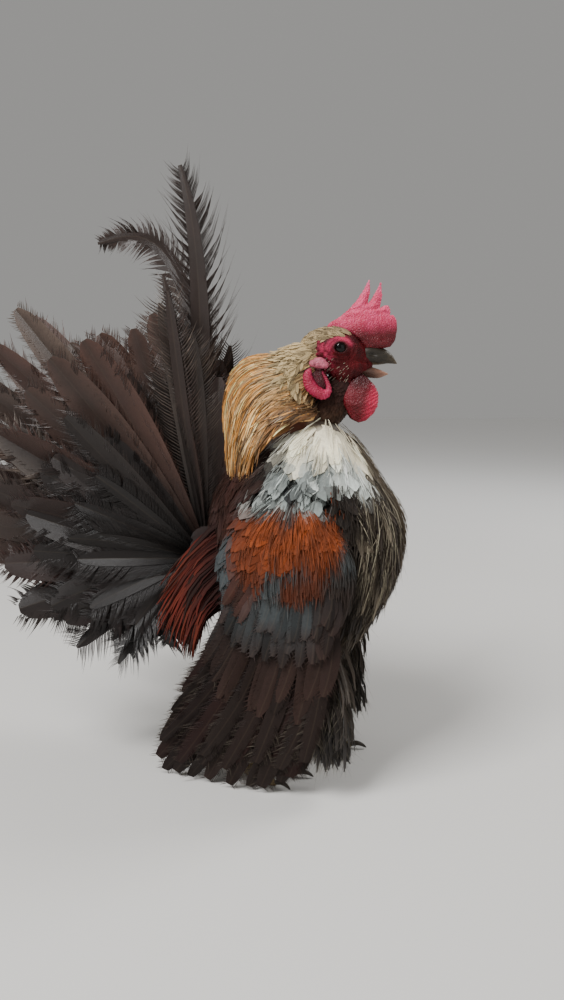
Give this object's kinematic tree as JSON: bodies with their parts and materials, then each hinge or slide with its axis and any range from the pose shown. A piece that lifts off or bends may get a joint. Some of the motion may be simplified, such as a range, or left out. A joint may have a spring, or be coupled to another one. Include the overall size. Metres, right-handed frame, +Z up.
{
  "type": "serama rooster model",
  "caption": "Still life-size serama rooster with lifted chest, drooped wings, upright fanned tail and a single comb, standing on its feet and wing tips",
  "frame": {"origin": "on the floor, under the middle of the model's bounding box", "axes": "+X is the way the bird faces, +Y its left side, +Z up; the soles and wing tips rest at z = 0"},
  "size_m": [0.2297, 0.0988, 0.2913],
  "materials": {
    "face_skin": "matte, finely folded dark crimson skin",
    "comb": "pebbled crimson skin with a soft sheen",
    "wattle": "pebbled crimson skin with a soft sheen",
    "eye": "wet and glossy",
    "beak": "satin dark horn",
    "claw": "satin dark horn",
    "shank": "scaled, dull yellow",
    "hackle": "silky golden orange feathers",
    "breast": "soft cream and grey feathers",
    "wing": "slate and rust feathers over dark quills",
    "tail": "brown-black feathers with a grey sheen",
    "fluff": "loose dark fluff"
  },
  "bodies": {
    "root": {"head": "face_skin", "eye_right": "eye", "eye_left": "eye", "beak_upper": "beak", "beak_lower": "beak", "comb": "comb", "wattle_right": "wattle", "wattle_left": "wattle", "earlobe_right": "wattle", "earlobe_left": "wattle", "neck": "hackle", "torso": "breast", "wing_right": "wing", "wing_left": "wing", "tail_right": "tail", "tail_left": "tail", "thigh_right": "fluff", "thigh_left": "fluff", "shank_right": "shank", "shank_left": "shank", "foot_right": "shank", "foot_left": "shank", "claw_middle_right": "claw", "claw_inner_right": "claw", "claw_outer_right": "claw", "claw_hallux_right": "claw", "claw_middle_left": "claw", "claw_inner_left": "claw", "claw_outer_left": "claw", "claw_hallux_left": "claw"}
  },
  "joints": []
}
